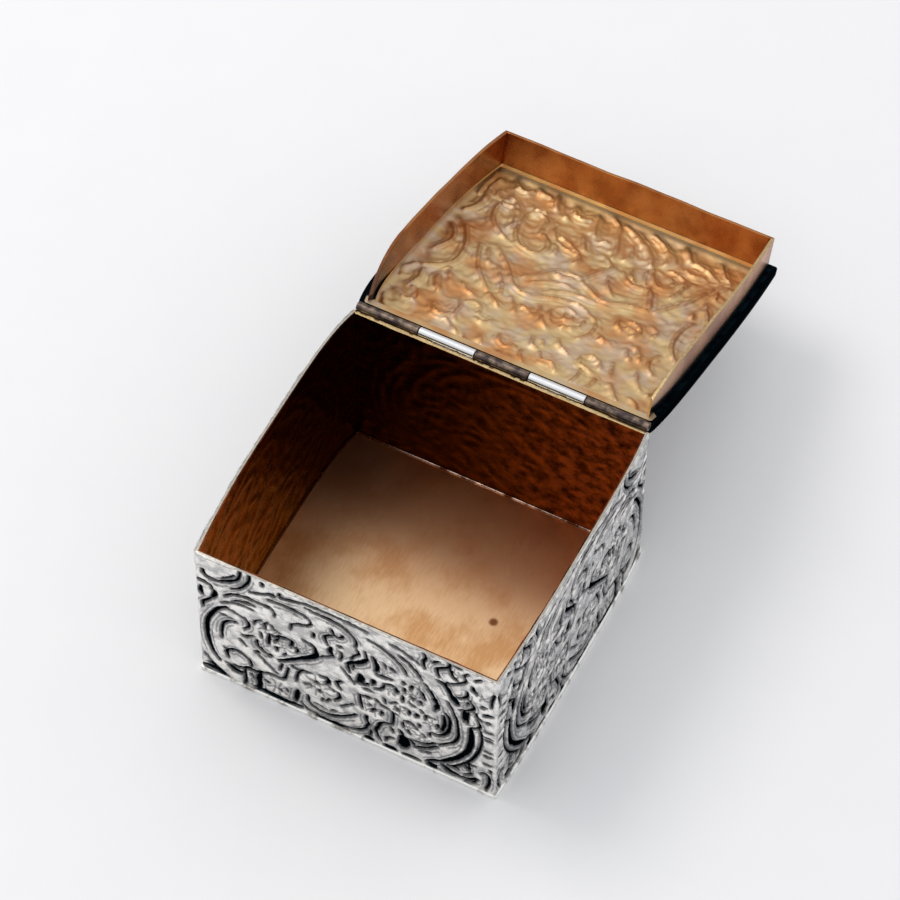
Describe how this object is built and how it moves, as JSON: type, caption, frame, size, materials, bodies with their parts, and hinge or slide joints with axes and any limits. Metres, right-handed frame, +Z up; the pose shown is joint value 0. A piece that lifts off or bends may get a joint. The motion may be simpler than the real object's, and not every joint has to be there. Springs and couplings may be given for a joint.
{
  "type": "stamp box",
  "caption": "Small square sheet-silver stamp box with scroll relief sides, a gilt inside and a pillowed lid on a tube hinge, laid back open.",
  "frame": {"origin": "middle of the underside of the base plate, between the straight sides", "axes": "+Z up, front of the box faces -Y, hinge runs along X behind the back wall, the open lid lies towards +Y"},
  "size_m": [0.0401, 0.0761, 0.027],
  "materials": {
    "relief_silver": "die-stamped sterling silver, blackened in the hollows",
    "gilt": "worn satin gilding over silver",
    "copper_gilt": "satin gilding turned coppery by tarnish",
    "tarnished_silver": "drawn silver with dark tarnish",
    "polished_silver": "polished drawn silver tube"
  },
  "bodies": {
    "box": {"front_wall": "relief_silver", "right_wall": "relief_silver", "back_wall": "relief_silver", "left_wall": "relief_silver", "base_plate": "gilt", "body_hinge_bearer": "tarnished_silver", "body_knuckle_left": "tarnished_silver", "body_knuckle_centre": "tarnished_silver", "body_knuckle_right": "tarnished_silver", "hinge_pin": "tarnished_silver"},
    "lid": {"lid_panel": "relief_silver", "lid_rim": "tarnished_silver", "lid_bezel_front": "copper_gilt", "lid_bezel_left": "copper_gilt", "lid_bezel_right": "copper_gilt", "lid_hinge_bearer": "tarnished_silver", "lid_knuckle_left": "polished_silver", "lid_knuckle_right": "polished_silver"}
  },
  "joints": [
    {"name": "lid_hinge", "type": "hinge", "parent": "box", "child": "lid", "pos_m": [0, 0.01965, 0.02453], "axis": [1, 0, 0], "range_deg": [0, 199]}
  ]
}
